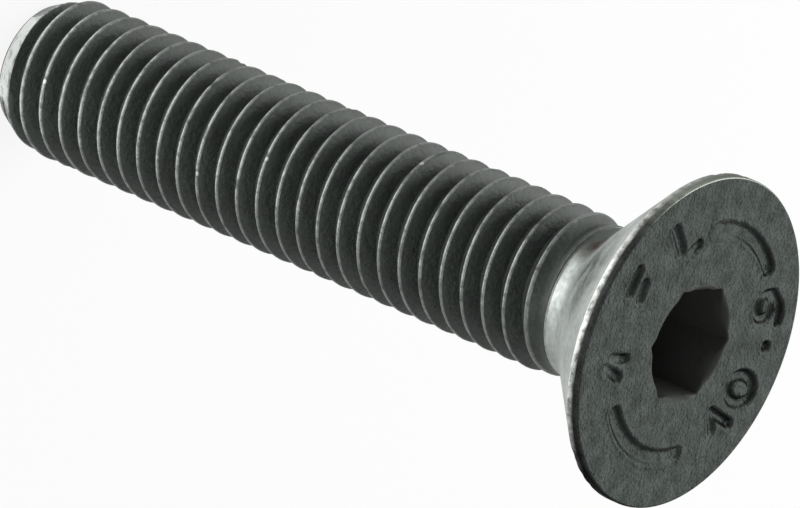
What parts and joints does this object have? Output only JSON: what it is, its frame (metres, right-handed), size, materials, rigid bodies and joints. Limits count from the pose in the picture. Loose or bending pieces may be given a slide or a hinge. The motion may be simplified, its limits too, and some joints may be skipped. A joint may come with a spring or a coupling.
{
  "type": "countersunk socket screw",
  "caption": "Flat countersunk screw with a hexagon socket in its head and a coarse metric thread almost up to the head, in blackened steel.",
  "frame": {"origin": "centre of the thread's end face, which the screw stands on", "axes": "+Z along the screw's axis from the thread's end to the head's face; +X square to one flat of the hexagon socket, through the point where the thread's crest leaves the end face"},
  "size_m": [0.0156, 0.0156, 0.04],
  "materials": {
    "black_steel": "satin black oxide, worn bright along the thread's crests and the head's lower rim"
  },
  "bodies": {
    "root": {"screw": "black_steel"}
  },
  "joints": []
}
